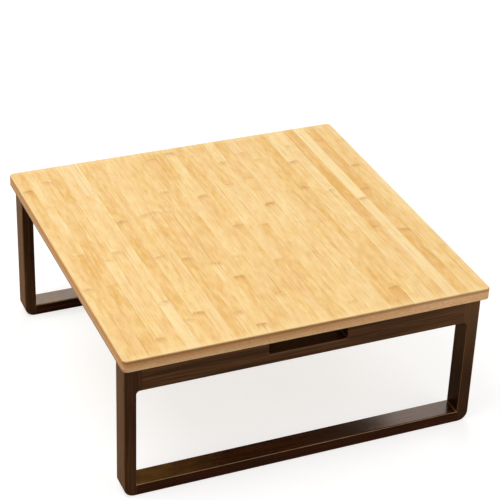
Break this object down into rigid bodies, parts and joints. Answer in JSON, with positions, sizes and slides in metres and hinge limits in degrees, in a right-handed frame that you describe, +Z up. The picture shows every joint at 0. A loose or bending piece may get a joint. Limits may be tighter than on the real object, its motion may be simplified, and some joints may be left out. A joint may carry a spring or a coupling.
{
  "type": "folding coffee table",
  "caption": "Low square folding table: a bamboo top on dark loop-shaped leg frames with hand grips, which fold flat under it on detent hinges.",
  "frame": {"origin": "on the floor, under the middle of the tabletop", "axes": "+X along the leg frames, +Y along the strips of the top from the front frame to the back one, +Z up"},
  "size_m": [0.6, 0.6, 0.26],
  "materials": {
    "bamboo_top": "satin clear lacquer",
    "stained_frame": "dark brown stain under semi-gloss lacquer",
    "dowel_wood": "plain turned wood",
    "hinge_steel": "zinc plated",
    "pin_steel": "bright turned",
    "spring_steel": "blued spring steel",
    "screw_steel": "yellow zinc plated"
  },
  "bodies": {
    "top": {"tabletop": "bamboo_top", "table_plate_screws": "screw_steel", "detent_rivets": "spring_steel", "front_left_table_plate": "hinge_steel", "front_left_hinge_pin": "pin_steel", "front_left_detent_spring": "spring_steel", "front_right_table_plate": "hinge_steel", "front_right_hinge_pin": "pin_steel", "front_right_detent_spring": "spring_steel", "back_left_table_plate": "hinge_steel", "back_left_hinge_pin": "pin_steel", "back_left_detent_spring": "spring_steel", "back_right_table_plate": "hinge_steel", "back_right_hinge_pin": "pin_steel", "back_right_detent_spring": "spring_steel"},
    "front_leg": {"front_left_leg_plate": "hinge_steel", "front_left_post": "stained_frame", "front_right_leg_plate": "hinge_steel", "front_right_post": "stained_frame", "front_top_rail": "stained_frame", "front_foot_rail": "stained_frame", "front_dowels": "dowel_wood", "front_leg_plate_screws": "screw_steel"},
    "back_leg": {"back_left_leg_plate": "hinge_steel", "back_left_post": "stained_frame", "back_right_leg_plate": "hinge_steel", "back_right_post": "stained_frame", "back_top_rail": "stained_frame", "back_foot_rail": "stained_frame", "back_dowels": "dowel_wood", "back_leg_plate_screws": "screw_steel"}
  },
  "joints": [
    {"name": "front_leg_fold", "type": "hinge", "parent": "top", "child": "front_leg", "pos_m": [0, -0.24, 0.232], "axis": [1, 0, 0], "range_deg": [0, 90], "deforming": ["front_left_detent_spring", "front_right_detent_spring"]},
    {"name": "back_leg_fold", "type": "hinge", "parent": "top", "child": "back_leg", "pos_m": [0, 0.24, 0.232], "axis": [-1, 0, 0], "range_deg": [0, 90], "deforming": ["back_left_detent_spring", "back_right_detent_spring"]}
  ]
}
